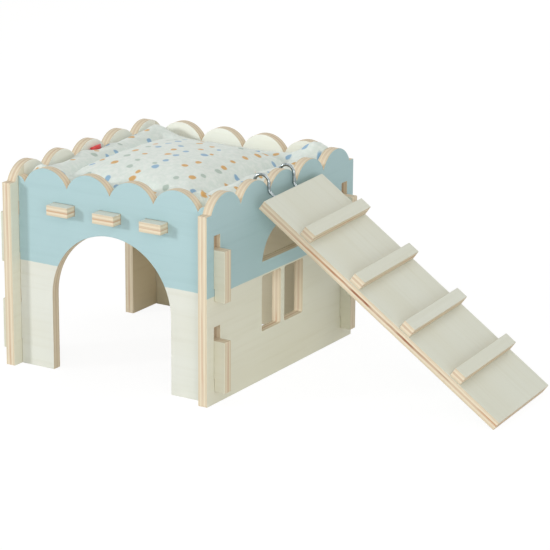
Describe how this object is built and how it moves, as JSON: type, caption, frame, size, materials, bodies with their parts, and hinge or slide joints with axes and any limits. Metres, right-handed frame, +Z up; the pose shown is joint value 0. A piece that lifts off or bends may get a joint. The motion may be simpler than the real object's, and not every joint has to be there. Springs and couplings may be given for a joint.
{
  "type": "guinea pig house",
  "caption": "Scalloped plywood small-pet house with arched doorways, a barred arched window, a cushioned roof tray and a hook-on ladder ramp.",
  "frame": {"origin": "middle of the whole part's box, on the floor", "axes": "+Z up, +X from the house towards the ramp's foot, the front doorway faces -Y"},
  "size_m": [0.4512, 0.238, 0.182],
  "materials": {
    "painted_ply": "matt pastel blue over whitewash, bare ply edges",
    "whitewashed_ply": "matt whitewash, bare ply edges",
    "fleece": "short fleece with scattered dots",
    "ribbon": "plain woven ribbon",
    "zinc_wire": "bright zinc plated"
  },
  "bodies": {
    "side_walls": {"left_wall": "painted_ply", "right_wall": "painted_ply"},
    "core": {"front_wall": "painted_ply", "back_wall": "painted_ply", "upper_floor": "whitewashed_ply"},
    "pad": {"cushion": "fleece", "cushion_tag": "ribbon"},
    "ramp": {"ramp_board": "whitewashed_ply", "cleat_1": "whitewashed_ply", "cleat_2": "whitewashed_ply", "cleat_3": "whitewashed_ply", "cleat_4": "whitewashed_ply", "hook_front": "zinc_wire", "hook_rear": "zinc_wire"}
  },
  "joints": [
    {"name": "unhook_lift", "type": "slide", "parent": "side_walls", "child": "core", "axis": [0, 0, 1], "range_m": [0, 0.0113]},
    {"name": "cushion_lift", "type": "slide", "parent": "core", "child": "pad", "axis": [0, 0, 1], "range_m": [0, 0.05]},
    {"name": "ramp_swing", "type": "hinge", "parent": "side_walls", "child": "ramp", "pos_m": [-0.00928, -0.00775, 0.17372], "axis": [0, -1, 0], "range_deg": [0, 20]}
  ]
}
